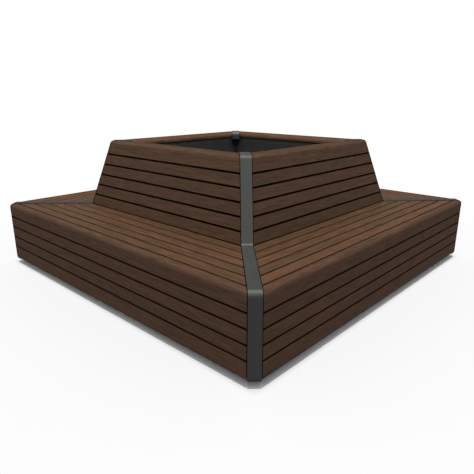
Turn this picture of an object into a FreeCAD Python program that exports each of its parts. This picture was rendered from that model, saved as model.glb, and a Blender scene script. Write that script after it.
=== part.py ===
import FreeCAD, Part
import math
import os
import Sketcher

# A square bench round a planter. Four alike sides meet at mitred corners, and every corner
# is closed by a bent flat bar that follows the whole profile: under the skirt, up the front,
# along the seat, up the leaning back, over the rim and down inside.
# Each piece is drawn once, on the right side (outwards is +X) or on a corner's diagonal,
# and is then turned about the planter's vertical axis. Z = 0 is the floor.

driving_sizes = {
    # outer shape
    "overall_width": 2400,
    "seat_height": 448,
    "back_height": 447.5,
    "seat_depth": 420.6,
    "back_lean": 15,
    "rim_width": 114.5,
    "rim_drop": 40,
    "skirt_clearance": 28.5,
    # boards
    "board_width": 65,
    "board_thickness": 28,
    "front_gap": 9.5,
    "seat_gap": 10,
    "back_gap": 9.5,
    "seat_foot_gap": 1.6,
    "back_foot_gap": 2.5,
    "nosing_height": 89.6,
    "nosing_depth": 44,
    "rim_board_leg": 88.6,
    "edge_radius": 26,
    "least_flat": 1,
    "arris": 2,
    "skirt_least_height": 60,
    "filler_least_width": 40,
    # corner straps
    "strap_width": 62,
    "strap_thickness": 6,
    "strap_proud": 3,
    "strap_side_gap": 3.5,
    "strap_clearance": 24,
    "strap_leg": 80,
    "strap_drop": 60,
    "strap_foot_radius": 16,
    # plate frames behind the boards
    "flange_thickness": 6,
    "flange_width": 40,
    "web_thickness": 8,
    "web_arm": 45,
    "web_corner_cut": 15,
    "rib_corner_gap": 34,
    "end_rib_corner_gap": 10,
    "end_rib_overhang": 20,
    "corner_flange_reach": 60,
    # base and feet
    "rail_size": 50,
    "rail_wall": 3,
    "rail_ledge": 12,
    "outer_rail_setback": 225,
    "foot_height": 30,
    "foot_pad_radius": 35,
    "foot_pad_height": 12,
    "stud_radius": 6,
    "stud_rise": 22,
    "stud_clearance": 0.2,
    "nut_flats": 18,
    "nut_height": 10,
    "outer_foot_inset": 150,
    "inner_foot_inset": 175,
    # planter
    "liner_clearance": 6,
    "sheet_thickness": 3,
    "post_size": 30,
    "post_wall": 2.5,
    "head_thickness": 4,
    "head_straight": 55,
    "head_taper": 23,
    "bearer_size": 40,
    "bearer_margin": 185,
    "tray_clearance": 0.5,
    "tray_upstand": 25,
    "drain_radius": 16,
    "drain_wall": 4,
    "drain_flange_radius": 28,
    "drain_flange_height": 3,
    "drain_tail": 25,
    "drain_clearance": 0.5,
}

side_names = ("right", "back", "left", "front")
corner_names = ("back_right", "back_left", "front_left", "front_right")
small_round_flats = 12  # small round pieces and holes out of sight are drawn with this many flats

doc = FreeCAD.newDocument("BenchWithPlanter")
sheet = doc.addObject("Spreadsheet::Sheet", "Sizes")
for row, (alias, number) in enumerate(driving_sizes.items(), start=1):
    sheet.set(f"A{row}", alias)
    sheet.set(f"B{row}", str(number))
    sheet.setAlias(f"B{row}", alias)
doc.recompute()

# Places worked out from the driving sizes, as expressions. X is the distance from the
# planter's axis, measured square to a side, or along the diagonal for a corner.
half_width = "(Sizes.overall_width / 2)"
seat_top = "Sizes.seat_height"
rim_top = "(Sizes.seat_height + Sizes.back_height)"
lean_tan = "tan(Sizes.back_lean * 1 deg)"
lean_sin = "sin(Sizes.back_lean * 1 deg)"
lean_cos = "cos(Sizes.back_lean * 1 deg)"
back_foot_x = f"({half_width} - Sizes.seat_depth)"
rim_outer_x = f"({back_foot_x} - Sizes.back_height * {lean_tan})"
rim_inner_x = f"({rim_outer_x} - Sizes.rim_width)"
slope_length = f"(Sizes.back_height / {lean_cos})"
lip_bottom = f"({rim_top} - Sizes.rim_drop)"
strap_foot_top = "(Sizes.strap_clearance + Sizes.strap_thickness)"
frame_low = f"max(Sizes.skirt_clearance; {strap_foot_top})"
frame_inset = "(Sizes.board_thickness + Sizes.flange_thickness)"
liner_inner_x = f"({rim_inner_x} + {frame_inset} + Sizes.liner_clearance)"
liner_outer_x = f"({liner_inner_x} + Sizes.sheet_thickness)"
post_inner_d = f"(sqrt(2) * {liner_inner_x} - Sizes.post_size / 2)"
post_outer_d = f"({post_inner_d} + Sizes.post_size)"
rail_bottom = "Sizes.foot_height"
rail_top = "(Sizes.foot_height + Sizes.rail_size)"
outer_rail_x = f"({half_width} - Sizes.outer_rail_setback - Sizes.rail_size / 2)"
inner_rail_x = f"({liner_outer_x} + Sizes.rail_ledge - Sizes.rail_size / 2)"
tray_bottom = f"({rail_top} + Sizes.bearer_size)"
bearer_y = f"({liner_inner_x} - Sizes.bearer_margin)"
half_strap = "(Sizes.strap_width / 2)"
end_rib_x = f"({outer_rail_x} - Sizes.rail_size / 2 - Sizes.end_rib_overhang)"
flange_reach_y = "(sqrt(2) * Sizes.corner_flange_reach + Sizes.flange_width / 2)"
rib_y = f"({rim_inner_x} + {frame_inset} - {flange_reach_y} - Sizes.rib_corner_gap)"
end_rib_y = f"({end_rib_x} - {flange_reach_y} - Sizes.end_rib_corner_gap)"
edge_round = "min(Sizes.edge_radius; Sizes.board_thickness - Sizes.least_flat)"
strap_bend = f"({edge_round} + Sizes.strap_proud)"
strap_bend_inside = f"({strap_bend} - Sizes.strap_thickness)"
strap_foot = "Sizes.strap_foot_radius"
strap_foot_inside = "(Sizes.strap_foot_radius + Sizes.strap_thickness)"
turning_points = ("seat_edge", "back_foot", "rim_edge", "rim_inside")


def value(expression):
    return float(sheet.evalExpression(expression))


def outline(kind, inset):
    """The profile's four turning points, set in from the boards' face by inset.

    A corner's profile lies on its diagonal. There the face is the flat between two board
    faces, half a strap's width in from the sharp corner, and the back leans further."""
    if kind == "side":
        front, foot, inside = half_width, back_foot_x, rim_inner_x
        slope_tan, slope_cos = lean_tan, lean_cos
    else:
        front, foot, inside = (
            f"(sqrt(2) * {x} - {half_strap})" for x in (half_width, back_foot_x, rim_inner_x)
        )
        slope_tan = f"(sqrt(2) * {lean_tan})"
        slope_cos = f"(1 / sqrt(1 + 2 * {lean_tan} ^ 2))"
    back_x = f"{foot} - ({inset}) / {slope_cos}"
    return {
        "seat_edge": (f"{front} - ({inset})", f"{seat_top} - ({inset})"),
        "back_foot": (f"{back_x} + ({inset}) * {slope_tan}", f"{seat_top} - ({inset})"),
        "rim_edge": (
            f"{back_x} - (Sizes.back_height - ({inset})) * {slope_tan}",
            f"{rim_top} - ({inset})",
        ),
        "rim_inside": (f"{inside} + ({inset})", f"{rim_top} - ({inset})"),
    }


def origin_item(body, role):
    return next(item for item in body.Origin.OriginFeatures if item.Role == role)


def new_body(name):
    return doc.addObject("PartDesign::Body", name)


def new_sketch(body, role, offset=None):
    """A sketch on one of the body's own planes, moved along the plane's normal by offset."""
    sketch = body.newObject("Sketcher::SketchObject", f"{body.Name}_sketch")
    sketch.AttachmentSupport = [(origin_item(body, role), "")]
    sketch.MapMode = "FlatFace"
    if offset:
        sketch.setExpression("AttachmentOffset.Base.z", offset)
        doc.recompute()
    return sketch


def pin_point(sketch, geometry, point, x, y):
    """Hold a point at x, y from the sketch's origin by two bound dimensions."""
    for kind, place in (("DistanceX", x), ("DistanceY", y)):
        number = value(place)
        if number < 0:
            ends, place, number = (geometry, point, -1, 1), f"-({place})", -number
        else:
            ends = (-1, 1, geometry, point)
        index = sketch.addConstraint(Sketcher.Constraint(kind, *ends, number))
        sketch.setExpression(f"Constraints[{index}]", place)


def add_polygon(sketch, corners):
    """A closed outline of straight lines whose corners are pairs of expressions."""
    points = [FreeCAD.Vector(value(x), value(y), 0) for x, y in corners]
    lines = []
    for start, end in zip(points, points[1:] + points[:1]):
        lines.append(sketch.addGeometry(Part.LineSegment(start, end), False))
    for line, following in zip(lines, lines[1:] + lines[:1]):
        sketch.addConstraint(Sketcher.Constraint("Coincident", line, 2, following, 1))
    for line, (x, y) in zip(lines, corners):
        pin_point(sketch, line, 1, x, y)


def small_round(x, y, radius):
    """Corners of a regular polygon that stands for a small circle about x, y."""
    turns = [360 * number / small_round_flats for number in range(small_round_flats)]
    return [
        (f"{x} + ({radius}) * cos({turn} * 1 deg)", f"{y} + ({radius}) * sin({turn} * 1 deg)")
        for turn in turns
    ]


def rectangle(x_low, x_high, y_low, y_high):
    return [(x_low, y_low), (x_high, y_low), (x_high, y_high), (x_low, y_high)]


def pad(body, sketch, length, side_type="Symmetric", reverse=False):
    feature = body.newObject("PartDesign::Pad", f"{body.Name}_pad")
    feature.Profile = sketch
    feature.setExpression("Length", length)
    feature.SideType = side_type
    feature.Reversed = reverse
    doc.recompute()
    return feature


def cut_away(body, sketch, depth=None, reverse=True):
    """Cut the sketch through all, or to a depth, and see that it removed material."""
    before = body.Shape.Volume
    feature = body.newObject("PartDesign::Pocket", f"{body.Name}_cut")
    feature.Profile = sketch
    feature.Reversed = reverse
    if depth:
        feature.setExpression("Length", depth)
    else:
        feature.Type = "ThroughAll"
    doc.recompute()
    if not body.Shape.Volume < before:
        raise RuntimeError(f"{feature.Name} cut nothing")
    return feature


def finish_edges(body, corners, size, kind="Fillet"):
    """Round or chamfer the edges that run square to the profile through given corners of it."""
    base = body.Tip
    places = [(value(x), value(z)) for x, z in corners]
    edges = []
    for number, edge in enumerate(base.Shape.Edges, start=1):
        box = edge.BoundBox
        if box.XLength > 0.001 or box.ZLength > 0.001:
            continue
        if any(math.hypot(box.XMin - x, box.ZMin - z) < 0.01 for x, z in places):
            edges.append(f"Edge{number}")
    if len(edges) < len(places):
        raise RuntimeError(f"{body.Name} has {len(edges)} edges of {len(places)} to finish")
    feature = body.newObject(f"PartDesign::{kind}", f"{body.Name}_{kind.lower()}")
    feature.Base = (base, edges)
    feature.setExpression("Radius" if kind == "Fillet" else "Size", size)
    doc.recompute()


def mitre_ends(body, setback, ends=(1, -1)):
    """Cut both ends parallel to the corner diagonals, leaving setback beside each one."""
    sketch = new_sketch(body, "XY_Plane")
    near, far = f"({rim_inner_x} / 2)", f"({half_width} + Sizes.board_thickness)"
    beyond = f"({far} + Sizes.board_thickness)"
    for sign in ends:
        add_polygon(sketch, [
            (near, f"{sign} * ({near} - sqrt(2) * ({setback}))"),
            (far, f"{sign} * ({far} - sqrt(2) * ({setback}))"),
            (far, f"{sign} * {beyond}"),
            (near, f"{sign} * {beyond}"),
        ])
    cut_away(body, sketch)


def turned(label, links, angle):
    """A compound of the linked pieces, turned about the planter's axis."""
    node = doc.addObject("Part::Compound", label)
    node.Label = label
    node.Links = links
    axis = FreeCAD.Vector(0, 0, 1)
    node.Placement = FreeCAD.Placement(FreeCAD.Vector(0, 0, 0), FreeCAD.Rotation(axis, angle))
    return node


def on_each_side(label, links):
    return [turned(f"{label}_{side}", links, 90 * turn) for turn, side in enumerate(side_names)]


def on_each_corner(label, links, first_angle=45):
    return [
        turned(f"{label}_{corner}", links, first_angle + 90 * turn)
        for turn, corner in enumerate(corner_names)
    ]


def all_round(label, links, first_angle=0):
    """One node that holds four turned copies."""
    copies = [turned(f"{label}_turn_{turn}", links, first_angle + 90 * turn) for turn in range(4)]
    return [turned(label, copies, 0)]


def profile_body(name, profiles, length):
    """A body padded both ways from profiles drawn on the XZ plane."""
    body = new_body(name)
    sketch = new_sketch(body, "XZ_Plane")
    for profile in profiles:
        add_polygon(sketch, profile)
    pad(body, sketch, length)
    return body


def board_body(name, profiles, arrises, moulded=()):
    """Boards of one side: moulded edges, eased arrises, then the mitred ends."""
    body = profile_body(name, profiles, "Sizes.overall_width")
    if moulded:
        finish_edges(body, moulded, edge_round)
    finish_edges(body, arrises, "Sizes.arris", kind="Chamfer")
    mitre_ends(body, f"{half_strap} + Sizes.strap_side_gap")
    return body


def nosing_board():
    """Moulded board that turns from the front onto the seat."""
    inner_x = f"{half_width} - Sizes.board_thickness"
    back_x = f"{half_width} - Sizes.nosing_depth"
    under_z = f"{seat_top} - Sizes.board_thickness"
    lower_z = f"{seat_top} - Sizes.nosing_height"
    edge, front, back = (half_width, seat_top), (half_width, lower_z), (back_x, seat_top)
    profile = [front, edge, back, (back_x, under_z), (inner_x, under_z), (inner_x, lower_z)]
    return on_each_side("nosing_board", [board_body("nosing", [profile], [front, back], [edge])])


def front_battens():
    """Plain battens under the nosing, then a skirt batten that takes the rest."""
    pitch = "(Sizes.board_width + Sizes.front_gap)"
    top = f"({seat_top} - Sizes.nosing_height - Sizes.front_gap)"
    spare = f"{top} - Sizes.skirt_clearance - Sizes.skirt_least_height"
    count = int(value(f"({spare}) / {pitch}"))
    inner_x = f"{half_width} - Sizes.board_thickness"
    profiles = []
    for number in range(count + 1):
        upper = f"{top} - {number} * {pitch}"
        lower = f"{upper} - Sizes.board_width" if number < count else "Sizes.skirt_clearance"
        profiles.append(rectangle(inner_x, half_width, lower, upper))
    skirt_edge = profiles[-1][1]
    arrises = [corner for profile in profiles for corner in profile[1:3] if corner != skirt_edge]
    return on_each_side("front_battens", [board_body("front_boards", profiles, arrises, [skirt_edge])])


def seat_battens():
    """Plain boards behind the nosing; the last one is as wide as what is left."""
    pitch = "(Sizes.board_width + Sizes.seat_gap)"
    outer = f"({half_width} - Sizes.nosing_depth - Sizes.seat_gap)"
    end = f"({back_foot_x} + Sizes.seat_foot_gap)"
    count = int(value(f"({outer} - {end} - Sizes.filler_least_width) / {pitch}"))
    under_z = f"{seat_top} - Sizes.board_thickness"
    profiles = []
    for number in range(count + 1):
        high = f"{outer} - {number} * {pitch}"
        low = f"{high} - Sizes.board_width" if number < count else end
        profiles.append(rectangle(low, high, under_z, seat_top))
    arrises = [corner for profile in profiles for corner in profile[2:]]
    return on_each_side("seat_battens", [board_body("seat_boards", profiles, arrises)])


def slope_point(along, inset):
    """A point on the leaning back: along is measured up the slope from the seat's plane."""
    return (
        f"{back_foot_x} - ({along}) * {lean_sin} - ({inset}) * {lean_cos}",
        f"{seat_top} + ({along}) * {lean_cos} - ({inset}) * {lean_sin}",
    )


def back_battens():
    """Plain battens below the rim board; the lowest one is as wide as what is left."""
    pitch = "(Sizes.board_width + Sizes.back_gap)"
    top = f"({slope_length} - Sizes.rim_board_leg - Sizes.back_gap)"
    spare = f"{top} - Sizes.back_foot_gap - Sizes.filler_least_width"
    count = int(value(f"({spare}) / {pitch}"))
    depth = "Sizes.board_thickness"
    profiles = []
    for number in range(count + 1):
        upper = f"{top} - {number} * {pitch}"
        lower = f"{upper} - Sizes.board_width" if number < count else "Sizes.back_foot_gap"
        face = [slope_point(lower, "0"), slope_point(upper, "0")]
        profiles.append(face + [slope_point(upper, depth), slope_point(lower, depth)])
    arrises = [corner for profile in profiles for corner in profile[:2]]
    return on_each_side("back_battens", [board_body("back_boards", profiles, arrises)])


def rim_board():
    """Moulded board: top of the back, flat rim and inner lip in one piece."""
    face = outline("side", "0")
    inner = outline("side", "Sizes.board_thickness")
    leg_start = f"({slope_length} - Sizes.rim_board_leg)"
    leg_foot = slope_point(leg_start, "0")
    lip_foot = (rim_inner_x, lip_bottom)
    profile = [
        leg_foot, face["rim_edge"], face["rim_inside"], lip_foot,
        (inner["rim_inside"][0], lip_bottom), inner["rim_inside"], inner["rim_edge"],
        slope_point(leg_start, "Sizes.board_thickness"),
    ]
    moulded = [face["rim_edge"], face["rim_inside"]]
    return on_each_side("rim_board", [board_body("rim", [profile], [leg_foot, lip_foot], moulded)])


def corner_strap():
    """Flat bar bent over its whole length, proud of the boards by strap_proud."""
    faces = []
    for depth in ("0", "Sizes.strap_thickness"):
        points = outline("corner", f"{depth} - Sizes.strap_proud")
        low = f"(Sizes.strap_clearance + {depth})"
        drop_z = f"({rim_top} + Sizes.strap_proud - Sizes.strap_drop)"
        face = [(strap_leg_x(), low), (points["seat_edge"][0], low)]
        face += [points[name] for name in turning_points]
        face.append((points["rim_inside"][0], drop_z))
        faces.append(face)
    outside, inside = faces
    body = profile_body("strap", [outside + inside[::-1]], "Sizes.strap_width")
    wrapping_bends = (1, 2, 4, 5)
    foot_bend = 3
    finish_edges(body, [outside[bend] for bend in wrapping_bends], strap_bend)
    finish_edges(body, [inside[bend] for bend in wrapping_bends], strap_bend_inside)
    finish_edges(body, [outside[foot_bend]], strap_foot)
    finish_edges(body, [inside[foot_bend]], strap_foot_inside)
    return on_each_corner("corner_strap", [body])


def strap_leg_x():
    """Where the strap's leg ends under the skirt."""
    return f"({outline('corner', '-Sizes.strap_proud')['seat_edge'][0]} - Sizes.strap_leg)"


def cut_windows(body, inner_x, foot_x, front_x):
    """Three windows: two under the seat and one under the back."""
    arm = "Sizes.web_arm"
    low, high = f"{rail_top} + {arm}", f"{seat_top} - {frame_inset} - {arm}"
    middle = f"(({foot_x} + {front_x}) / 2)"
    windows = [
        rectangle(f"{middle} + {arm} / 2", f"{front_x} - {arm}", low, high),
        rectangle(foot_x, f"{middle} - {arm} / 2", low, high),
        rectangle(f"{inner_x} + {arm}", f"{foot_x} - {arm}", low, high),
    ]
    cut_through(body, windows)


def cut_through(body, windows):
    """Cut the windows through a plate and take off their sharp corners."""
    sketch = new_sketch(body, "XZ_Plane")
    for window in windows:
        add_polygon(sketch, window)
    feature = cut_away(body, sketch, reverse=False)
    feature.SideType = "Symmetric"
    doc.recompute()
    corners = [corner for window in windows for corner in window]
    finish_edges(body, corners, "Sizes.web_corner_cut", kind="Chamfer")


def corner_web():
    """Diagonal plate that carries the strap, on the base rails and over the post."""
    edge = outline("corner", "Sizes.strap_thickness - Sizes.strap_proud")
    low = strap_foot_top
    front_foot = (edge["seat_edge"][0], low)
    rail_x = f"(sqrt(2) * ({outer_rail_x} + Sizes.rail_size / 2) + Sizes.web_arm)"
    profile = [(strap_leg_x(), low), front_foot] + [edge[name] for name in turning_points]
    profile += [
        (edge["rim_inside"][0], lip_bottom), (post_outer_d, lip_bottom),
        (post_outer_d, rail_top), (rail_x, rail_top),
    ]
    body = profile_body("corner_plate", [profile], "Sizes.web_thickness")
    wrapping = [front_foot, edge["seat_edge"], edge["rim_edge"], edge["rim_inside"]]
    finish_edges(body, wrapping, strap_bend_inside)
    finish_edges(body, [edge["back_foot"]], strap_foot_inside)
    cut_windows(body, post_outer_d, edge["back_foot"][0], edge["seat_edge"][0])
    return on_each_corner("corner_web", [body])


def flange_faces():
    """Both faces of the bars behind the boards, from the strap's foot to inside the rim's lip."""
    faces = []
    for inset in ("Sizes.board_thickness", frame_inset):
        points = outline("side", inset)
        face = [(points["seat_edge"][0], frame_low)]
        face += [points[name] for name in turning_points]
        face.append((points["rim_inside"][0], lip_bottom))
        faces.append(face)
    return faces


def flange_body(name, length):
    """Flat bars mitred and welded into one run that follows the boards' backs."""
    outside, inside = flange_faces()
    return profile_body(name, [outside + inside[::-1]], length)


def corner_flanges():
    """Strips behind the board ends, one on each side of a corner web."""
    plus = flange_body("corner_flange_plus", "Sizes.overall_width")
    minus = flange_body("corner_flange_minus", "Sizes.overall_width")
    for body, sign in ((plus, 1), (minus, -1)):
        mitre_ends(body, "Sizes.web_thickness / 2", ends=(sign,))
        keep_near_mitre(body, "Sizes.corner_flange_reach", sign)
    quarter = FreeCAD.Rotation(FreeCAD.Vector(0, 0, 1), 90)
    minus.Placement = FreeCAD.Placement(FreeCAD.Vector(0, 0, 0), quarter)
    return on_each_corner("corner_flanges", [plus, minus], first_angle=0)


def keep_near_mitre(body, reach, sign):
    """Cut away all that lies further than reach from one corner's diagonal."""
    sketch = new_sketch(body, "XY_Plane")
    near, far = f"({rim_inner_x} / 2)", f"({half_width} + Sizes.board_thickness)"
    add_polygon(sketch, [
        (near, f"{sign} * ({near} - sqrt(2) * ({reach}))"),
        (far, f"{sign} * ({far} - sqrt(2) * ({reach}))"),
        (far, f"{-sign} * {far}"),
        (near, f"{-sign} * {far}"),
    ])
    cut_away(body, sketch)


def rib_webs():
    """Plate frames of one side: full ribs against the liner, end ribs under the seat only."""
    edge = outline("side", frame_inset)
    front_x, low = edge["seat_edge"][0], frame_low
    step_x = f"({outer_rail_x} + Sizes.rail_size)"
    front_foot = [
        (step_x, rail_top), (f"{step_x} + {rail_top} - {low}", low), (front_x, low), edge["seat_edge"],
    ]
    rib_profile = front_foot + [
        edge["back_foot"], edge["rim_edge"], (liner_outer_x, edge["rim_edge"][1]),
        (liner_outer_x, rail_top),
    ]
    rib = profile_body("rib_plate", [rib_profile], "Sizes.web_thickness")
    cut_windows(rib, liner_outer_x, edge["back_foot"][0], front_x)
    end_profile = front_foot + [(end_rib_x, edge["seat_edge"][1]), (end_rib_x, rail_top)]
    end_rib = profile_body("end_rib_plate", [end_profile], "Sizes.web_thickness")
    arm = "Sizes.web_arm"
    cut_through(end_rib, [rectangle(
        f"{end_rib_x} + {arm}", f"{front_x} - {arm}",
        f"{rail_top} + {arm}", f"{edge['seat_edge'][1]} - {arm}",
    )])
    return on_each_side("rib_webs", rib_rows("rib_web", rib, end_rib))


def rib_rows(name, rib, end_rib):
    """Copies of a rib at the middle and to each side, and of an end rib near each corner."""
    places = [(rib, "0"), (rib, rib_y), (rib, f"-{rib_y}")]
    places += [(end_rib, end_rib_y), (end_rib, f"-{end_rib_y}")]
    copies = []
    for number, (master, offset) in enumerate(places):
        copy = doc.addObject("Part::Compound", f"{name}_{number}")
        copy.Links = [master]
        copy.setExpression("Placement.Base.y", offset)
        copies.append(copy)
    return copies


def rib_flanges():
    """Flat bars on the ribs' outer edges, against the backs of the boards."""
    rib = flange_body("rib_flange", "Sizes.flange_width")
    outside, inside = flange_faces()
    end_profile = [
        outside[0], outside[1], (end_rib_x, outside[1][1]),
        (end_rib_x, inside[1][1]), inside[1], inside[0],
    ]
    end_rib = profile_body("end_rib_flange", [end_profile], "Sizes.flange_width")
    return on_each_side("rib_flanges", rib_rows("rib_bar", rib, end_rib))


def base_rails():
    """Outer and inner rail of one side, mitred into two rings, with holes for the feet."""
    profiles = []
    for centre in (outer_rail_x, inner_rail_x):
        profiles += tube_section(centre, f"{rail_bottom} + Sizes.rail_size / 2", "Sizes.rail_size")
    body = profile_body("rails", profiles, "Sizes.overall_width")
    mitre_ends(body, "0")
    holes = new_sketch(body, "XY_Plane")
    for x, y in foot_places():
        add_polygon(holes, small_round(x, y, "Sizes.stud_radius + Sizes.stud_clearance"))
    cut_away(body, holes, depth=f"{rail_bottom} + 2 * Sizes.rail_wall")
    return on_each_side("base_rails", [body])


def tube_section(centre_x, centre_y, size):
    """A square tube's outer and inner outline."""
    outlines = []
    for wall in ("0", "Sizes.rail_wall"):
        reach = f"({size} / 2 - {wall})"
        outlines.append(rectangle(
            f"{centre_x} - {reach}", f"{centre_x} + {reach}",
            f"{centre_y} - {reach}", f"{centre_y} + {reach}",
        ))
    return outlines


def foot_places():
    """Where the feet of one side stand under its two rails."""
    outer_y = f"({outer_rail_x} - Sizes.outer_foot_inset)"
    inner_y = f"({inner_rail_x} - Sizes.inner_foot_inset)"
    rails = ((outer_rail_x, outer_y), (inner_rail_x, inner_y))
    return [(x, f"{sign} * {y}") for x, y in rails for sign in (1, -1)]


def under_rails(name, flats, radius, length, height):
    """The same upright prism at every foot place of one side, its base at height."""
    copies = []
    for number, (x, y) in enumerate(foot_places()):
        piece = doc.addObject("Part::Prism", f"{name}_{number}")
        piece.Polygon = flats
        piece.setExpression("Circumradius", radius)
        piece.setExpression("Height", length)
        piece.setExpression("Placement.Base.x", x)
        piece.setExpression("Placement.Base.y", y)
        piece.setExpression("Placement.Base.z", height)
        copies.append(piece)
    return copies


def levelling_feet():
    """Rubber pads, threaded studs that stand on them, and nuts that lock under the rails."""
    round_flats, hexagon = small_round_flats, 6
    pads = under_rails("pad", round_flats, "Sizes.foot_pad_radius", "Sizes.foot_pad_height", "0")
    stud_length = f"{rail_bottom} + Sizes.stud_rise - Sizes.foot_pad_height"
    studs = under_rails("stud", round_flats, "Sizes.stud_radius", stud_length, "Sizes.foot_pad_height")
    nut_place = ("Sizes.nut_height", f"{rail_bottom} - Sizes.nut_height")
    blanks = under_rails("nut_blank", hexagon, "Sizes.nut_flats / sqrt(3)", *nut_place)
    bore_radius = "Sizes.stud_radius + Sizes.stud_clearance / 2"
    bores = under_rails("nut_bore", round_flats, bore_radius, *nut_place)
    nuts = []
    for number, (blank, bore) in enumerate(zip(blanks, bores)):
        nut = doc.addObject("Part::Cut", f"nut_{number}")
        nut.Base, nut.Tool = blank, bore
        nuts.append(nut)
    return all_round("foot_pads", pads) + all_round("foot_studs", studs) + all_round("foot_nuts", nuts)


def liner_panel():
    """Sheet wall on the inner rail, against the rib webs and between two posts."""
    profile = rectangle(liner_inner_x, liner_outer_x, rail_top, lip_bottom)
    body = profile_body("panel", [profile], "Sizes.overall_width")
    mitre_ends(body, "Sizes.post_size / 2")
    return on_each_side("liner_panel", [body])


def corner_post():
    """Square tube set on the diagonal, its inner face closing the liner's corner."""
    body = new_body("post")
    sketch = new_sketch(body, "XY_Plane", offset=rail_top)
    for wall in ("0", "Sizes.post_wall"):
        add_polygon(sketch, rectangle(
            f"{post_inner_d} + {wall}", f"{post_outer_d} - {wall}",
            f"-(Sizes.post_size / 2 - {wall})", f"Sizes.post_size / 2 - {wall}",
        ))
    pad(body, sketch, f"{lip_bottom} - {rail_top}", side_type="One side")
    return on_each_corner("corner_post", [body])


def post_heads():
    """Plates under the corner webs' arms, their long edges against two liner panels.

    Each narrows from the strap's width to the post's."""
    body = new_body("head_plate")
    sketch = new_sketch(body, "YZ_Plane", offset=f"sqrt(2) * {liner_inner_x} - {half_strap}")
    wide, narrow = half_strap, "(Sizes.post_size / 2)"
    shoulder = f"({lip_bottom} - Sizes.head_straight)"
    add_polygon(sketch, [
        (f"-{wide}", lip_bottom), (f"-{wide}", shoulder),
        (f"-{narrow}", f"{shoulder} - Sizes.head_taper"), (narrow, f"{shoulder} - Sizes.head_taper"),
        (wide, shoulder), (wide, lip_bottom),
    ])
    pad(body, sketch, "Sizes.head_thickness", side_type="One side", reverse=True)
    return all_round("post_heads", [body], first_angle=45)


def floor_bearers():
    """Square tubes across the inner ring, under the liner floor."""
    body = new_body("bearers")
    sketch = new_sketch(body, "YZ_Plane")
    for centre_y in (f"-{bearer_y}", "0", bearer_y):
        centre_z = f"({rail_top} + Sizes.bearer_size / 2)"
        for section in tube_section(centre_y, centre_z, "Sizes.bearer_size"):
            add_polygon(sketch, section)
    pad(body, sketch, f"2 * ({liner_inner_x} - Sizes.tray_clearance)")
    return [turned("floor_bearers", [body], 0)]


def tray_outline(inset):
    """Square with its corners cut off in front of the posts, as eight points."""
    side = f"({liner_inner_x} - Sizes.tray_clearance - {inset})"
    cut = f"(sqrt(2) * ({post_inner_d} - Sizes.tray_clearance - {inset}) - {side})"
    points = [(side, f"-{cut}"), (side, cut), (cut, side), (f"-{cut}", side)]
    points += [(f"-{side}", cut), (f"-{side}", f"-{cut}"), (f"-{cut}", f"-{side}"), (cut, f"-{side}")]
    return points


def drain_places():
    """Four places, midway between the bearers."""
    spread = (f"{bearer_y} / 2", f"-{bearer_y} / 2")
    return [(x, y) for x in spread for y in spread]


def liner_floor():
    """Folded tray with an upstand and four drain holes."""
    body = new_body("tray")
    blank = new_sketch(body, "XY_Plane", offset=tray_bottom)
    add_polygon(blank, tray_outline("0"))
    pad(body, blank, "Sizes.tray_upstand + Sizes.sheet_thickness", side_type="One side")
    hollow = new_sketch(body, "XY_Plane", offset=f"{tray_bottom} + Sizes.sheet_thickness")
    add_polygon(hollow, tray_outline("Sizes.sheet_thickness"))
    cut_away(body, hollow)
    holes = new_sketch(body, "XY_Plane")
    for x, y in drain_places():
        add_polygon(holes, small_round(x, y, "Sizes.drain_radius + Sizes.drain_clearance"))
    cut_away(body, holes)
    return [turned("liner_floor", [body], 0)]


def drain_spigots():
    """Flanged tubes through the tray's holes, open from the soil to the ground."""
    sheet_top = f"{tray_bottom} + Sizes.sheet_thickness"
    body = new_body("spigot")
    runs = (
        ("Sizes.drain_flange_radius", "Sizes.drain_flange_height", False),
        ("Sizes.drain_radius", "Sizes.drain_tail + Sizes.sheet_thickness", True),
    )
    for radius, length, downwards in runs:
        sketch = new_sketch(body, "XY_Plane", offset=sheet_top)
        add_polygon(sketch, small_round("0", "0", radius))
        add_polygon(sketch, small_round("0", "0", "Sizes.drain_radius - Sizes.drain_wall"))
        pad(body, sketch, length, side_type="One side", reverse=downwards)
    spigots = []
    for number, (x, y) in enumerate(drain_places()):
        copy = doc.addObject("Part::Compound", f"spigot_{number}")
        copy.Links = [body]
        copy.setExpression("Placement.Base.x", x)
        copy.setExpression("Placement.Base.y", y)
        spigots.append(copy)
    return [turned("drain_spigots", spigots, 0)]


def check_document():
    doc.recompute()
    for item in doc.Objects:
        if "Invalid" in item.State or "Error" in item.State:
            raise RuntimeError(f"{item.Name} is {item.State}")


def write_parts(nodes):
    for node in nodes:
        if node.Shape.isNull() or not node.Shape.isValid() or not node.Shape.Solids:
            raise RuntimeError(f"{node.Label} has no valid solid")
    os.makedirs("parts", exist_ok=True)
    for node in nodes:
        node.Shape.exportStep(f"parts/{node.Label}.step")
        box = node.Shape.BoundBox
        print(f"{node.Label}: {len(node.Shape.Solids)} solids, top at {box.ZMax:.1f} mm")


nodes = (
    nosing_board() + front_battens() + seat_battens() + back_battens() + rim_board()
    + corner_strap() + corner_web() + corner_flanges() + rib_webs() + rib_flanges()
    + base_rails() + levelling_feet() + liner_panel() + corner_post() + post_heads()
    + floor_bearers() + liner_floor() + drain_spigots()
)
check_document()
write_parts(nodes)
print(len(nodes), "nodes")
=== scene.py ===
import math

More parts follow.
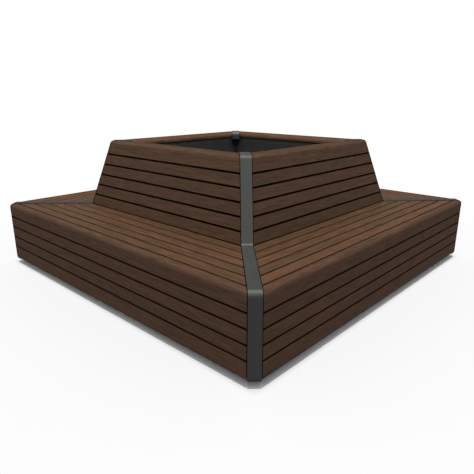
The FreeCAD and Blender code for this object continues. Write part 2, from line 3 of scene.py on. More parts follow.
import bpy
import numpy as np
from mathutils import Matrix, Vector


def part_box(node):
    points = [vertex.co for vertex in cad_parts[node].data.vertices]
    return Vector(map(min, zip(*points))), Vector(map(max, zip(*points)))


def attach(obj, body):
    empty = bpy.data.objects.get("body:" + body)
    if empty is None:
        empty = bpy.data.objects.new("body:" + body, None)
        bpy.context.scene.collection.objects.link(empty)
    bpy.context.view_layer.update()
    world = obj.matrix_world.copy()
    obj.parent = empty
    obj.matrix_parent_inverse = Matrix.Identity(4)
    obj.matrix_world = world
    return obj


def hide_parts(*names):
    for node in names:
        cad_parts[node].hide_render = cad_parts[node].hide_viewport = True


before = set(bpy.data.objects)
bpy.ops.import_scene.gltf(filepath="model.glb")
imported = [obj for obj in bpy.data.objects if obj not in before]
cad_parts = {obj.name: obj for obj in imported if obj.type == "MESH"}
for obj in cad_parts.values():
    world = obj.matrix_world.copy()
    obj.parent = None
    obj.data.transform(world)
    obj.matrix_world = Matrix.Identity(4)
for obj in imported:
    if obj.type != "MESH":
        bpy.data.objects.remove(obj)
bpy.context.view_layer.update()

# A square slatted bench round a planter. Lengths are metres, Z is up, and each side or corner
# is worked out on the right side (+X) or on a diagonal and turned about the middle.
sideAngles = {"right": 0, "back": 90, "left": 180, "front": 270}
cornerAngles = {"back_right": 45, "back_left": 135, "front_left": 225, "front_right": 315}
rng = np.random.default_rng(41)
white = (1, 1, 1, 1)


def linearColour(hexColour):
    # sRGB hex to linear light: below 0.04045 divide by 12.92, above it the 2.4 power curve
    parts = np.array([int(hexColour[i:i + 2], 16) / 255 for i in (1, 3, 5)])
    linear = np.where(parts <= 0.04045, parts / 12.92, ((parts + 0.055) / 1.055) ** 2.4)
    return (*linear.tolist(), 1.0)


def addNode(tree, kind, inputs=None, **settings):
    # adds one node; an input is either a value or another node's output socket
    node = tree.nodes.new(kind)
    for key, setting in settings.items():
        setattr(node, key, setting)
    for key, given in (inputs or {}).items():
        if isinstance(given, bpy.types.NodeSocket):
            tree.links.new(given, node.inputs[key])
        else:
            node.inputs[key].default_value = given
    return node


def mathOf(tree, operation, *given, **settings):
    # the result of one maths node, whose inputs are given in order
    inputs = dict(enumerate(given))
    return addNode(tree, "ShaderNodeMath", inputs, operation=operation, **settings).outputs[0]


def mapped(tree, given, source=(0, 1), target=(0, 1), **settings):
    # carries the source range over to the target range and stops at its ends
    low, high = source
    first, last = target
    inputs = {"Value": given, "From Min": low, "From Max": high, "To Min": first, "To Max": last}
    return addNode(tree, "ShaderNodeMapRange", inputs, **settings).outputs[0]


def curveOf(tree, given, stops):
    # straight lines between (position, level) stops, from a colour ramp scaled to 0 to 1 both ways
    low, high, top = stops[0][0], stops[-1][0], max(level for _, level in stops)
    ramp = addNode(tree, "ShaderNodeValToRGB", {"Fac": mapped(tree, given, (low, high))})
    marks = ramp.color_ramp.elements
    while len(marks) < len(stops):
        marks.new(0.5)
    for mark, (position, level) in zip(marks, stops):
        mark.position, mark.color = (position - low) / (high - low), (level / top,) * 3 + (1,)
    return mathOf(tree, "MULTIPLY", ramp.outputs["Color"], top)


def mixedColour(tree, factor, first, second):
    inputs = {"Factor": factor, "A": first, "B": second}
    node = addNode(tree, "ShaderNodeMix", inputs, data_type="RGBA")
    return next(socket for socket in node.outputs if socket.type == "RGBA")


def scaledColour(tree, colour, level):
    return addNode(tree, "ShaderNodeVectorMath", {0: colour, "Scale": level}, operation="SCALE").outputs[0]


def noiseOf(tree, place, scale, detail, roughness=0.5):
    inputs = {"Vector": place, "Scale": scale, "Detail": detail, "Roughness": roughness}
    return addNode(tree, "ShaderNodeTexNoise", inputs).outputs["Fac"]


def bumpOf(tree, height, depth, strength):
    inputs = {"Height": height, "Distance": depth, "Strength": strength}
    return addNode(tree, "ShaderNodeBump", inputs).outputs[0]


def attributeOf(tree, name, output="Fac"):
    return addNode(tree, "ShaderNodeAttribute", attribute_name=name).outputs[output]


def placeOf(tree):
    return addNode(tree, "ShaderNodeTexCoord").outputs["Object"]


def axesOf(tree, vector):
    return addNode(tree, "ShaderNodeSeparateXYZ", {"Vector": vector}).outputs


def newMaterial(name):
    material = bpy.data.materials.new(name)
    material.use_nodes = True
    material.node_tree.nodes.clear()
    return material, material.node_tree


def satinSurface(tree, colour, rough, specular, bump, sheen, sheenRough):
    # a plain surface under an even gloss that hardly changes with the angle
    plain = addNode(tree, "ShaderNodeBsdfPrincipled", {
        "Base Color": colour, "Roughness": rough, "Specular IOR Level": specular, "Normal": bump,
    })
    gloss = addNode(tree, "ShaderNodeBsdfGlossy", {"Color": white, "Roughness": sheenRough, "Normal": bump})
    both = addNode(tree, "ShaderNodeMixShader", {0: sheen, 1: plain.outputs[0], 2: gloss.outputs[0]})
    addNode(tree, "ShaderNodeOutputMaterial", {"Surface": both.outputs[0]})


def addObject(name, data):
    added = bpy.data.objects.new(name, data)
    bpy.context.scene.collection.objects.link(added)
    return added


def addMesh(name, vertices, faces, material):
    mesh = bpy.data.meshes.new(name)
    mesh.from_pydata(vertices, [], faces)
    mesh.materials.append(material)
    return addObject(name, mesh)


def arcsAtCorners(corners, radii, steps, closed):
    # rounds each corner of a polyline: the arc's centre lies on the corner's bisector at
    # radius / cos(turn / 2), and its normal turns evenly from one edge's normal to the next's
    corners = np.asarray(corners, float)
    before, after = np.roll(corners, 1, 0), np.roll(corners, -1, 0)
    arriving = (corners - before) / np.linalg.norm(corners - before, axis=1)[:, None]
    leaving = (after - corners) / np.linalg.norm(after - corners, axis=1)[:, None]
    cross = arriving[:, 0] * leaving[:, 1] - arriving[:, 1] * leaving[:, 0]
    turn = np.arctan2(cross, (arriving * leaving).sum(1))
    radii = np.broadcast_to(np.asarray(radii, float), turn.shape)
    bisector = leaving - arriving
    bisector /= np.maximum(np.linalg.norm(bisector, axis=1), 1e-12)[:, None]
    centre = corners + bisector * (radii / np.cos(turn / 2))[:, None]
    start = np.arctan2(-arriving[:, 0], arriving[:, 1])
    angle = start[:, None] + turn[:, None] * np.linspace(0, 1, steps)[None, :]
    normals = np.stack([np.cos(angle), np.sin(angle)], -1)
    points = centre[:, None] + normals * (np.sign(turn) * radii)[:, None, None]
    if closed:
        return points.reshape(-1, 2), normals.reshape(-1, 2)
    points, normals = points[1:-1].reshape(-1, 2), normals[1:-1].reshape(-1, 2)
    points = np.concatenate([corners[:1], points, corners[-1:]])
    return points, np.concatenate([normals[:1], normals, normals[-1:]])


def turnedAbout(vectors, degrees):
    # turns rows of x, y, z about the vertical axis
    angle = math.radians(degrees)
    cosine, sine = math.cos(angle), math.sin(angle)
    return vectors @ np.array([[cosine, sine, 0], [-sine, cosine, 0], [0, 0, 1]])


def meshFromTubes(name, tubes, material, replaced):
    # a tube is a grid of stations by points of a closed section, with its normals and the
    # normals of its two end faces; all the tubes become one mesh whose faces point outwards
    vertices, faces, loopNormals, attributes = [], [], [], {}
    first = 0
    for tube in tubes:
        grid, normals = tube["grid"], tube["normals"]
        stations, count = grid.shape[:2]
        index = np.arange(stations * count).reshape(stations, count)
        quads = np.stack([
            index[:-1], np.roll(index, -1, 1)[:-1], np.roll(index, -1, 1)[1:], index[1:],
        ], -1).reshape(-1, 4)
        flat, flatNormals = grid.reshape(-1, 3), normals.reshape(-1, 3)
        facing = np.cross(flat[quads[:, 2]] - flat[quads[:, 0]], flat[quads[:, 3]] - flat[quads[:, 1]])
        if (facing * flatNormals[quads[:, 0]]).sum() < 0:
            quads = quads[:, ::-1]
            ends = (index[0], index[-1][::-1])
        else:
            ends = (index[0][::-1], index[-1])
        vertices.append(flat)
        faces += (quads + first).tolist()
        loopNormals.append(flatNormals[quads.reshape(-1)])
        for end, direction in zip(ends, tube["endNormals"]):
            faces.append((end + first).tolist())
            loopNormals.append(np.repeat(np.asarray(direction, float)[None], count, 0))
        for key, values in tube["attributes"].items():
            attributes.setdefault(key, []).append(values)
        first += len(flat)
    piece = addMesh(name, np.concatenate(vertices).tolist(), faces, material)
    mesh = piece.data
    mesh.polygons.foreach_set("use_smooth", np.ones(len(mesh.polygons), bool))
    for key, values in attributes.items():
        values = np.concatenate(values)
        kind, part = ("FLOAT_VECTOR", "vector") if values.ndim == 2 else ("FLOAT", "value")
        layer = mesh.attributes.new(key, kind, "POINT")
        layer.data.foreach_set(part, values.ravel().astype(np.float32))
    mesh.update()
    mesh.normals_split_custom_set(np.concatenate(loopNormals).tolist())
    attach(piece, "root")
    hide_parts(*replaced)


# oiled hardwood, planed and finished with a dark oil: a dull brown that drifts between red and
# olive, streaked along the board by fibre and growth bands, with short dark pores; the edges
# in the gaps get a painted shade
woodLook = {
    "red": "#774f3b", "olive": "#645033", "fibre": "#372419", "paintedGapShade": "#3f1f06",
    # lengths in metres along and across the board, and the noise's detail; fibre and pores are
    # drawn a little coarser than real ones so that they still show from two or three metres away
    "mottle": (0.13, 0.035, 2), "band": (0.24, 0.013, 2), "streak": (0.085, 0.0045, 3),
    "pore": (0.018, 0.0010, 1), "noiseRoughness": 0.55, "ringSpacing": 0.0055, "ringWarp": 0.016,
    # where each board is cut from its tree: along it, beside the pith and above the pith
    "cutFrom": ((0, 40), (-0.05, 0.05), (0.07, 0.16)),
    # how far hue follows the board and its mottle, and the range that goes from olive to red
    "boardHue": 0.3, "mottleHue": 1.8, "hueRange": (0.60, 1.50),
    # what bands and rings add to the streaks, and the ranges over which fibre and pores darken
    "bandShare": 0.5, "ringShare": 0.05, "fibreRange": (0.45, 1.05), "fibreMost": 0.95,
    "poreRange": (0.60, 0.70), "poreMost": 0.40, "poreHeight": -1.2,
    # the roughness falls over a range of the streaks, and the dried oil adds an even grey sheen
    # that hardly changes with the angle
    "roughRange": (0.3, 0.7), "roughness": (0.93, 0.79), "specular": 0.015,
    "sheen": 0.018, "sheenRoughness": 0.50, "bumpDepth": 0.00025, "bumpStrength": 0.6,
    # how much painted shade the hidden faces in the gaps get, and the turn in degrees over which it sets in
    "gapDirt": {
        "nosing_board": (0.80, 15, 75), "front_battens": (0.85, 15, 75), "seat_battens": (0.20, 15, 75),
        "back_battens": (0.98, 8, 55), "rim_board": (0.98, 8, 55),
    },
    # painted light and shade by group and on single sides, and the spread in tone from board to board
    "groupPaintedLight": {
        "nosing_board": 0.87, "front_battens": 0.90, "seat_battens": 1.06,
        "back_battens": 0.88, "rim_board": 1.0,
    },
    "sidePaintedShade": {"rim_board_front": 0.86, "nosing_board_front": 0.96},
    "boardSpread": 0.08,
    # painted light and shade on the rim board: outward angle in degrees to level, its flat top
    # painted darker than the bends on both its sides and its inner lip painted lighter
    "rimPaintedLight": (
        (15, 1.05), (25, 1.18), (45, 1.22), (60, 1.05), (75, 0.83), (90, 0.67), (100, 0.78),
        (115, 1.05), (140, 1.50), (180, 2.00),
    ),
}


def oiledHardwood():
    look = woodLook
    material, tree = newMaterial("oiledHardwood")
    place = attributeOf(tree, "grainPlace", "Vector")
    tone, gapShade = attributeOf(tree, "boardTone"), attributeOf(tree, "paintedGapShade")

    def stretchedNoise(key):
        along, across, detail = look[key]
        inputs = {0: place, 1: (1 / along, 1 / across, 1 / across)}
        scaled = addNode(tree, "ShaderNodeVectorMath", inputs, operation="MULTIPLY").outputs[0]
        return noiseOf(tree, scaled, 1.0, detail, look["noiseRoughness"])

    mottle, band, streak, pore = (stretchedNoise(key) for key in ("mottle", "band", "streak", "pore"))
    # growth rings: a sine of the distance from the pith, which lies beside the board
    axes = axesOf(tree, place)
    section = addNode(tree, "ShaderNodeCombineXYZ", {"Y": axes["Y"], "Z": axes["Z"]}).outputs[0]
    radius = addNode(tree, "ShaderNodeVectorMath", {0: section}, operation="LENGTH").outputs["Value"]
    warped = mathOf(tree, "MULTIPLY_ADD", band, look["ringWarp"], radius)
    ring = mathOf(tree, "SINE", mathOf(tree, "MULTIPLY", warped, 2 * math.pi / look["ringSpacing"]))
    # hue: each board lies between a red and an olive brown and drifts along its length
    boardHue = mathOf(tree, "MULTIPLY", tone, look["boardHue"])
    drift = mathOf(tree, "MULTIPLY_ADD", mottle, look["mottleHue"], boardHue)
    hue = mapped(tree, drift, look["hueRange"])
    body = mixedColour(tree, hue, linearColour(look["olive"]), linearColour(look["red"]))
    # fibre: streaks, bands and rings darken together, pores darken more
    lines = mathOf(tree, "MULTIPLY_ADD", ring, look["ringShare"], streak)
    figure = mathOf(tree, "MULTIPLY_ADD", band, look["bandShare"], lines)
    depth = mapped(tree, figure, look["fibreRange"], (look["fibreMost"], 0.0))
    poreMask = mapped(tree, pore, look["poreRange"], (0.0, look["poreMost"]))
    dark = mathOf(tree, "ADD", depth, poreMask, use_clamp=True)
    shade = mixedColour(tree, dark, body, linearColour(look["fibre"]))
    # each board is a little lighter or darker than the next, and carries painted light and shade by group, side
    # and facing
    toned = scaledColour(tree, shade, attributeOf(tree, "toneAndPaintedLight"))
    # painted shade on the faces in the gaps
    colour = mixedColour(tree, gapShade, toned, linearColour(look["paintedGapShade"]))
    rough = mapped(tree, streak, look["roughRange"], look["roughness"])
    height = mathOf(tree, "MULTIPLY_ADD", poreMask, look["poreHeight"], streak)
    bump = bumpOf(tree, height, look["bumpDepth"], look["bumpStrength"])
    # wood outside the gaps shines a little, the painted shade in the gaps does not
    outsideGaps = mathOf(tree, "SUBTRACT", 1.0, gapShade)
    specular, sheen = (mathOf(tree, "MULTIPLY", outsideGaps, look[key]) for key in ("specular", "sheen"))
    satinSurface(tree, colour, rough, specular, bump, sheen, look["sheenRoughness"])
    return material


# powder coat on steel, baked on: an even satin or matt film with a fine orange peel, faintly
# clouded; on the straps it carries painted highlights at the outer bends and on the back, and
# painted shade at the foot and along the bar's edges
coatLooks = {
    "strapCoat": {
        "colour": "#434543", "paintedLight": "strapPaintedLight", "roughness": 0.55, "specular": 0.02, "sheen": 0.018,
        "peel": 0.0016, "bumpDepth": 0.00006,
    },
    "frameCoat": {
        "colour": "#1e1611", "roughness": 0.70, "specular": 0.03, "sheen": 0.001,
        "peel": 0.0016, "bumpDepth": 0.00006,
    },
    "postCoat": {
        "colour": "#434446", "roughness": 0.60, "specular": 0.10, "sheen": 0.004,
        "peel": 0.0016, "bumpDepth": 0.00006,
    },
    "headCoat": {
        "colour": "#151617", "roughness": 0.60, "specular": 0.10, "sheen": 0.004,
        "peel": 0.0016, "bumpDepth": 0.00006,
    },
    "linerCoat": {
        "colour": "#5d5e60", "roughness": 0.65, "specular": 0.10, "sheen": 0.004,
        "peel": 0.0020, "bumpDepth": 0.00008,
        # painted light on the wall, paler towards the rim and the corners, with a painted shadow line
        # under the lip: one curve by height, one by the lesser of |x| and |y|
        "fade": {
            "heights": ((0.77, 0.86), (0.81, 1.05), (0.832, 2.0), (0.843, 2.6), (0.847, 0.4), (0.87, 0.3)),
            "corners": ((0.40, 1.0), (0.57, 1.6)),
        },
    },
}
# what all coats share: clouds and the range of their levels, the roughness that follows them,
# and how strong the orange peel is
coatClouds = {
    "size": 0.11, "detail": 6, "roughness": 0.65, "level": (0.80, 1.20),
    "roughRange": (0.3, 0.7), "roughSpread": (-0.05, 0.06), "bumpStrength": 0.5,
}


def powderCoat(name):
    look, clouds = coatLooks[name], coatClouds
    material, tree = newMaterial(name)
    place = placeOf(tree)
    peel = noiseOf(tree, place, 1 / look["peel"], 1)
    cloud = noiseOf(tree, place, 1 / clouds["size"], clouds["detail"], clouds["roughness"])
    level = mapped(tree, cloud, target=clouds["level"])
    # painted highlights and painted shade carried by a mesh attribute
    if "paintedLight" in look:
        level = mathOf(tree, "MULTIPLY", level, attributeOf(tree, look["paintedLight"]))
    # painted light and painted shadow on the liner wall, by height and by nearness to the corners
    if "fade" in look:
        axes = axesOf(tree, place)
        inward = mathOf(tree, "MINIMUM", *(mathOf(tree, "ABSOLUTE", axes[key]) for key in "XY"))
        for given, key in ((axes["Z"], "heights"), (inward, "corners")):
            level = mathOf(tree, "MULTIPLY", level, curveOf(tree, given, look["fade"][key]))
    colour = scaledColour(tree, linearColour(look["colour"])[:3], level)
    roughness = [look["roughness"] + more for more in clouds["roughSpread"]]
    rough = mapped(tree, cloud, clouds["roughRange"], roughness)
    bump = bumpOf(tree, peel, look["bumpDepth"], clouds["bumpStrength"])
    satinSurface(tree, colour, rough, look["specular"], bump, look["sheen"], rough)
    return material


# small parts out of sight: black rubber pads and drain outlets with the fine grain of their
# moulds, and zinc-plated fasteners, a pale metal with soft grey clouds
smallPartLooks = {
    "footRubber": {
        "dark": "#131314", "light": "#1f1f20", "grain": 0.0011, "roughness": 0.80,
        "metallic": 0.0, "specular": 0.35, "bumpDepth": 0.00012,
    },
    "drainPlastic": {
        "dark": "#161617", "light": "#202122", "grain": 0.0007, "roughness": 0.45,
        "metallic": 0.0, "specular": 0.50, "bumpDepth": 0.00004,
    },
    "zincPlate": {
        "dark": "#6f7274", "light": "#8f9293", "grain": 0.0040, "roughness": 0.50,
        "metallic": 1.0, "specular": 0.50, "bumpDepth": 0.00003,
    },
}
# what all small parts share: their grain's detail and what follows it
smallPartGrain = {"detail": 3, "roughRange": (0.3, 0.7), "roughSpread": (-0.06, 0.06), "bumpStrength": 0.5}


def smallPartFinish(name):
    look, shared = smallPartLooks[name], smallPartGrain
    material, tree = newMaterial(name)
    grain = noiseOf(tree, placeOf(tree), 1 / look["grain"], shared["detail"])
    colour = mixedColour(tree, grain, linearColour(look["dark"]), linearColour(look["light"]))
    roughness = [look["roughness"] + more for more in shared["roughSpread"]]
    rough = mapped(tree, grain, shared["roughRange"], roughness)
    shader = addNode(tree, "ShaderNodeBsdfPrincipled", {
        "Base Color": colour, "Roughness": rough, "Metallic": look["metallic"],
        "Specular IOR Level": look["specular"],
        "Normal": bumpOf(tree, grain, look["bumpDepth"], shared["bumpStrength"]),
    })
    addNode(tree, "ShaderNodeOutputMaterial", {"Surface": shader.outputs[0]})
    return material


# the profile of one side, seen along the side: x is the distance from the middle
sideSizes = {
    "frontX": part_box("nosing_board_right")[1].x, "seatTop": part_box("seat_battens_right")[1].z,
    "nosingBackX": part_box("nosing_board_right")[0].x, "nosingBottom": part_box("nosing_board_right")[0].z,
    "skirtBottom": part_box("front_battens_right")[0].z, "seatEndX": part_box("seat_battens_right")[0].x,
    "rimTop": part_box("rim_board_right")[1].z, "rimInnerX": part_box("rim_board_right")[0].x,
    "lean": math.radians(15), "backFootX": 0.7794, "lipDrop": 0.040, "rimLeg": 0.0886,
    "boardWidth": 0.065, "thickness": 0.028, "frontGap": 0.0095, "seatGap": 0.010, "backGap": 0.0095,
    "backFootGap": 0.0025, "edgeRadius": 0.026, "arris": 0.0025, "hiddenArris": 0.0010,
    "endSetback": 0.0345, "arcSteps": 9,
    # in board widths: with less than this left, the last board of a face takes all of it
    "lastBoard": 1.6,
}


def slopeLength():
    # up the leaning face, from the seat's plane to the rim's
    return (sideSizes["rimTop"] - sideSizes["seatTop"]) / math.cos(sideSizes["lean"])


def slopePoint(along, inset):
    # along runs up the leaning face from the seat's plane, inset goes in square to it
    size = sideSizes
    sine, cosine = math.sin(size["lean"]), math.cos(size["lean"])
    return (
        size["backFootX"] - along * sine - inset * cosine,
        size["seatTop"] + along * cosine - inset * sine,
    )


def boardSpans(high, low, gap):
    # (low, high) of each board of a face, from its high end down
    width, spans = sideSizes["boardWidth"], []
    while high - low > width * sideSizes["lastBoard"]:
        spans.append((high - width, high))
        high -= width + gap
    return spans + [(low, high)]


def boardBox(xLow, xHigh, zLow, zHigh, face):
    # an upright or flat board: corners, radii and the outward angles of the face that shows,
    # whose arrises are the larger ones
    big, small = sideSizes["arris"], sideSizes["hiddenArris"]
    corners = [(xLow, zLow), (xHigh, zLow), (xHigh, zHigh), (xLow, zHigh)]
    if face == "front":
        return corners, [small, big, big, small], (0, 0)
    return corners, [small, small, big, big], (90, 90)


def boardOutlines():
    # each group's boards as (corners, radii, shown angles), counterclockwise
    size = sideSizes
    big, small, edge = size["arris"], size["hiddenArris"], size["edgeRadius"]
    frontX, seatTop, thick = size["frontX"], size["seatTop"], size["thickness"]
    backX, lowerZ = size["nosingBackX"], size["nosingBottom"]
    innerX, underZ, leanDegrees = frontX - thick, seatTop - thick, math.degrees(size["lean"])
    slope = slopeLength()
    legStart = slope - size["rimLeg"]
    nosing = [
        (innerX, lowerZ), (frontX, lowerZ), (frontX, seatTop),
        (backX, seatTop), (backX, underZ), (innerX, underZ),
    ]
    fronts = [
        boardBox(innerX, frontX, low, high, "front")
        for low, high in boardSpans(lowerZ - size["frontGap"], size["skirtBottom"], size["frontGap"])
    ]
    # the skirt turns under with a round edge
    skirt, radii, _ = fronts[-1]
    radii[1] = edge
    fronts[-1] = (skirt, radii, (-90, 0))
    seats = [
        boardBox(low, high, underZ, seatTop, "top")
        for low, high in boardSpans(backX - size["seatGap"], size["seatEndX"], size["seatGap"])
    ]
    backs = [
        (
            [slopePoint(low, 0), slopePoint(high, 0), slopePoint(high, thick), slopePoint(low, thick)],
            [big, big, small, small], (leanDegrees, leanDegrees),
        )
        for low, high in boardSpans(legStart - size["backGap"], size["backFootGap"], size["backGap"])
    ]
    rimTop, rimInnerX = size["rimTop"], size["rimInnerX"]
    lip, lipBackX, rimUnder = rimTop - size["lipDrop"], rimInnerX + thick, rimTop - thick
    fall = (rimUnder - seatTop) * math.tan(size["lean"])
    rim = [
        slopePoint(legStart, 0), (slopePoint(slope, 0)[0], rimTop), (rimInnerX, rimTop), (rimInnerX, lip),
        (lipBackX, lip), (lipBackX, rimUnder),
        (size["backFootX"] - thick / math.cos(size["lean"]) - fall, rimUnder), slopePoint(legStart, thick),
    ]
    return {
        "nosing_board": [(nosing, [small, big, edge, big, small, small], (0, 90))],
        "front_battens": fronts, "seat_battens": seats, "back_battens": backs,
        "rim_board": [(rim, [big, edge, edge, big, small, small, small, small], (leanDegrees, 180))],
    }


def gapShadeAt(outwards, shown, most, first, last):
    # painted shade: 0 on the faces that show, rising by a smooth step to its most as the surface
    # turns away from them into a gap, over the given degrees
    middle, half = sum(shown) / 2, (shown[1] - shown[0]) / 2
    angle = np.degrees(np.arctan2(outwards[:, 1], outwards[:, 0])) - middle
    away = np.abs((angle + 180) % 360 - 180) - half
    step = np.clip((away - first) / (last - first), 0, 1)
    return most * step * step * (3 - 2 * step)


def boardTube(corners, radii, shown, group, side):
    # a section carried straight along the side; both ends lie in planes parallel to the
    # corner diagonals: y = +-(x - sqrt(2) * endSetback)
    look = woodLook
    outline, outwards = arcsAtCorners(corners, radii, sideSizes["arcSteps"], closed=True)
    reach = outline[:, 0] - math.sqrt(2) * sideSizes["endSetback"]
    y = np.array([[-1.0], [1.0]]) * reach[None]
    grid = np.stack([np.broadcast_to(outline[:, 0], y.shape), y, np.broadcast_to(outline[:, 1], y.shape)], -1)
    normals = np.stack([outwards[:, 0], np.zeros(len(outwards)), outwards[:, 1]], -1)
    normals = np.broadcast_to(normals, grid.shape)
    half = math.sqrt(0.5)
    ends = np.array([(-half, -half, 0), (-half, half, 0)])
    # the grain's own axes: along the board, then across its section
    middle = outline.mean(0)
    cut = np.array([rng.uniform(*limits) for limits in look["cutFrom"]])
    place = np.stack([grid[..., 1], grid[..., 0] - middle[0], grid[..., 2] - middle[1]], -1) + cut
    tone = rng.uniform(0, 1)
    # painted light and shade by group and side, times each board's own spread in tone
    level = look["groupPaintedLight"][group] * look["sidePaintedShade"].get(f"{group}_{side}", 1.0)
    level = np.full(len(outline), level * (1 + look["boardSpread"] * (2 * tone - 1)))
    # painted light and shade on the rim board by the way its surface faces
    if group == "rim_board":
        facing = np.degrees(np.arctan2(outwards[:, 1], outwards[:, 0]))
        level *= np.interp(facing, *zip(*look["rimPaintedLight"]))
    # painted shade on the faces that turn into the gaps
    gapShade = gapShadeAt(outwards, shown, *look["gapDirt"][group])
    angle, stations = sideAngles[side], len(grid)
    return {
        "grid": turnedAbout(grid, angle), "normals": turnedAbout(normals, angle),
        "endNormals": turnedAbout(ends, angle),
        "attributes": {
            "grainPlace": place.reshape(-1, 3), "boardTone": np.full(stations * len(outline), tone),
            "toneAndPaintedLight": np.tile(level, stations), "paintedGapShade": np.tile(gapShade, stations),
        },
    }


def makeBoards(outlines):
    timber = oiledHardwood()
    for group, boards in outlines.items():
        for side in sideAngles:
            tubes = [boardTube(*board, group, side) for board in boards]
            node = f"{group}_{side}"
            meshFromTubes(node.replace("_", "-"), tubes, timber, [node])


# the corner straps: flat bar 62 by 6 mm, bent along the whole profile
strapSizes = {
    "width": 0.062, "thickness": 0.006, "proud": 0.003, "clearance": 0.024, "leg": 0.080, "drop": 0.060,
    "bendRadius": 0.029, "footRadius": 0.016, "edgeRadius": 0.0012, "bendSteps": 14, "edgeSteps": 4,
    # painted highlights and painted shade: how much paler or darker than its colour the coat is,
    # from the start to the end of each bend, foot to rim
    "strapPaintedLight": (
        (0.55, 0.65, 0.95), (0.95, 0.92, 1.48, 2.04, 1.95, 0.80),
        (1.02, 1.05, 1.10, 1.30, 1.60, 2.60, 5.20, 1.67), (1.67, 2.52, 2.48, 1.20, 0.42),
        (0.74, 2.20, 3.80, 2.60, 1.40),
    ),
    # and painted shade on the bar's edges, where the section faces sideways by more than this
    "edgePaintedShade": 0.30, "edgeFacing": 0.6,
    # two of the straps are painted darker than the others, a painted shade
    "cornerPaintedShade": {"back_right": 1.0, "back_left": 0.48, "front_left": 1.0, "front_right": 0.44},
}


def strapPath():
    # the outer face in the corner's upright plane; on the diagonal every distance grows by
    # sqrt(2) less half the strap's width, and so does the slope of the back
    size, strap = sideSizes, strapSizes
    half, proud = strap["width"] / 2, strap["proud"]
    slopeTan = math.sqrt(2) * math.tan(size["lean"])
    slopeCos = 1 / math.sqrt(1 + slopeTan ** 2)
    front, foot, inside = (math.sqrt(2) * size[key] - half for key in ("frontX", "backFootX", "rimInnerX"))
    backX = foot + proud / slopeCos
    rise = size["rimTop"] - size["seatTop"]
    low, seat, top = strap["clearance"], size["seatTop"] + proud, size["rimTop"] + proud
    points = [
        (front + proud - strap["leg"], low), (front + proud, low), (front + proud, seat),
        (backX - proud * slopeTan, seat), (backX - (rise + proud) * slopeTan, top),
        (inside - proud, top), (inside - proud, top - strap["drop"]),
    ]
    bend, footBend = strap["bendRadius"], strap["footRadius"]
    return arcsAtCorners(points, [0, bend, bend, footBend, bend, bend, 0], strap["bendSteps"], closed=False)


def strapTube(corner, angle):
    # a rounded flat section carried along the bent path, square to it everywhere
    strap = strapSizes
    half, thick = strap["width"] / 2, strap["thickness"]
    corners = [(-half, -thick), (half, -thick), (half, 0), (-half, 0)]
    section, sectionNormals = arcsAtCorners(corners, strap["edgeRadius"], strap["edgeSteps"], closed=True)
    path, pathNormals = strapPath()
    across, height = section[:, 0][None], section[:, 1][None]
    distance = path[:, :1] + pathNormals[:, :1] * height
    above = path[:, 1:] + pathNormals[:, 1:] * height
    grid = np.stack([distance, np.broadcast_to(across, distance.shape), above], -1)
    sideways, upwards = sectionNormals[:, 0][None], sectionNormals[:, 1][None]
    normals = np.stack([
        pathNormals[:, :1] * upwards, np.broadcast_to(sideways, distance.shape), pathNormals[:, 1:] * upwards,
    ], -1)
    ends = np.array([(-1, 0, 0), (0, 0, -1)], float)
    steps = np.linspace(0, 1, strap["bendSteps"])
    # painted highlights and painted shade along the path, darker on two corners and on the bar's edges
    level = [np.interp(steps, np.linspace(0, 1, len(values)), values) for values in strap["strapPaintedLight"]]
    level = np.concatenate([level[0][:1], *level, level[-1][-1:]]) * strap["cornerPaintedShade"][corner]
    edge = np.where(np.abs(sectionNormals[:, 0]) > strap["edgeFacing"], strap["edgePaintedShade"], 1.0)
    return {
        "grid": turnedAbout(grid, angle), "normals": turnedAbout(normals, angle),
        "endNormals": turnedAbout(ends, angle),
        "attributes": {"strapPaintedLight": np.outer(level, edge).ravel()},
    }


def makeStraps():
    coat = powderCoat("strapCoat")
    for corner, angle in cornerAngles.items():
        node = f"corner_strap_{corner}"
        meshFromTubes(node.replace("_", "-"), [strapTube(corner, angle)], coat, [node])


# pan-head screws that hold the boards from behind, one on each side of every rib's plate
screwSizes = {
    "radius": 0.0055, "height": 0.0028, "sides": 12, "sunk": 0.0002,
    # the crown's share of the radius, and the share of the height where it starts
    "crown": 0.55, "crownFrom": 0.45,
    "barFace": 0.034, "beside": 0.013, "rimLegShare": 0.75, "cornerSetback": 0.047,
    # the ribs' places along a side; the end ribs stand only outside their inner end
    "ribY": (0.0, 0.4401, -0.4401), "endRibY": (0.7902, -0.7902), "endRibInnerX": 0.925,
}


def screwPlaces(outlines):
    # on the right side: the foot (x, z) of each screw and the direction of its head, from the
    # middle of each board's shown face moved in by the bar's depth
    size, screw = sideSizes, screwSizes
    depth, lean, seatTop = screw["barFace"], size["lean"], size["seatTop"]
    slope = slopeLength()
    heights = [(corners[0][1] + corners[2][1]) / 2 for corners, *_ in outlines["front_battens"]]
    heights.append((size["nosingBottom"] + seatTop - size["thickness"]) / 2)
    along = [
        np.mean([(size["backFootX"] - corners[k][0]) / math.sin(lean) for k in (0, 1)])
        for corners, *_ in outlines["back_battens"]
    ]
    along.append(slope - size["rimLeg"] * screw["rimLegShare"])
    seatX = [(corners[0][0] + corners[1][0]) / 2 for corners, *_ in outlines["seat_battens"]]
    topX = (size["rimInnerX"] + slopePoint(slope, 0)[0]) / 2
    rows = [(size["frontX"] - depth, height, -1, 0) for height in heights]
    rows += [(x, seatTop - depth, 0, -1) for x in seatX]
    rows += [(*slopePoint(distance, depth), -math.cos(lean), -math.sin(lean)) for distance in along]
    rows.append((topX, size["rimTop"] - depth, 0, -1))
    places = []
    for x, z, dx, dz in rows:
        ribs = screw["ribY"] + (screw["endRibY"] if x > screw["endRibInnerX"] and z < seatTop else ())
        cornerY = x - math.sqrt(2) * screw["cornerSetback"]
        across = [rib + move for rib in ribs for move in (-screw["beside"], screw["beside"])]
        places += [(x, y, z, dx, dz) for y in across + [cornerY, -cornerY]]
    return np.array(places)


